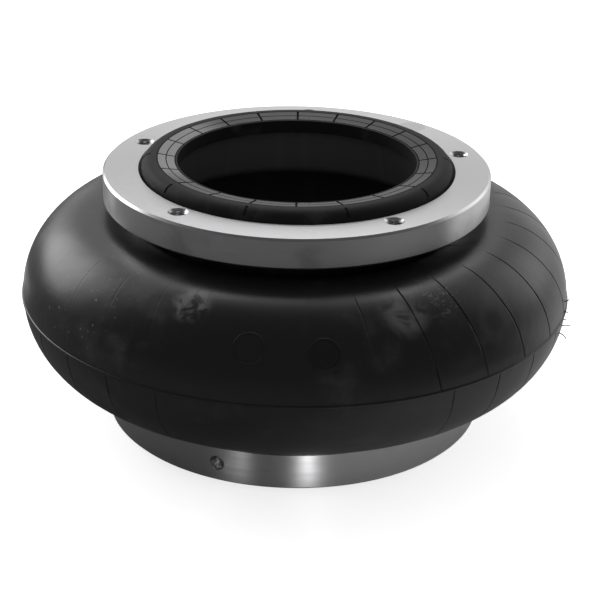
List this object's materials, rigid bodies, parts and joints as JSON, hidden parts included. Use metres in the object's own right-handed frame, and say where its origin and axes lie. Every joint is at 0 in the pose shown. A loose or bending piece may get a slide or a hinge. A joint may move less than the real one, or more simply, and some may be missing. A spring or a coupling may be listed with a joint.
{
  "type": "air bellows actuator",
  "caption": "Rubber air bellows held between metal bead rings with tapped fixing holes; air fills the rounded convolution and pushes the ends apart.",
  "frame": {"origin": "on the axis, on the surface that the lower sealing bead stands on", "axes": "+Z along the stroke axis, towards the top ring; -Y towards the viewer"},
  "size_m": [0.3166, 0.3166, 0.159],
  "materials": {
    "ring_metal": "turned, satin",
    "cover_rubber": "moulded, dull sheen",
    "bead_rubber": "moulded, smooth",
    "liner_rubber": "smooth",
    "filler_rubber": "matt",
    "cord_fabric": "rubberised cord",
    "bead_wire": "drawn wire, brass washed"
  },
  "bodies": {
    "base_ring": {"bottom_bead_ring": "ring_metal"},
    "lower_end": {"bottom_sealing_bead": "bead_rubber", "bottom_bead_core": "bead_wire", "bottom_bead_filler": "filler_rubber", "outer_cover": "cover_rubber", "outer_ply": "cord_fabric", "inner_ply": "cord_fabric", "inner_liner": "liner_rubber"},
    "upper_end": {"top_sealing_bead": "bead_rubber", "top_bead_core": "bead_wire", "top_bead_filler": "filler_rubber"},
    "top_ring": {"top_bead_ring": "ring_metal"}
  },
  "joints": [
    {"name": "base_ring_turn", "type": "hinge", "parent": "base_ring", "child": "lower_end", "pos_m": [0, 0, 0.017], "axis": [0, 0, 1], "continuous": true},
    {"name": "stroke", "type": "slide", "parent": "lower_end", "child": "upper_end", "axis": [0, 0, 1], "range_m": [-0.09, 0], "stiffness_N_per_m": 4000, "springref_m": 0.008, "deforming": ["outer_cover", "outer_ply", "inner_ply", "inner_liner"]},
    {"name": "top_ring_turn", "type": "hinge", "parent": "upper_end", "child": "top_ring", "pos_m": [0, 0, 0.1445], "axis": [0, 0, 1], "continuous": true}
  ]
}
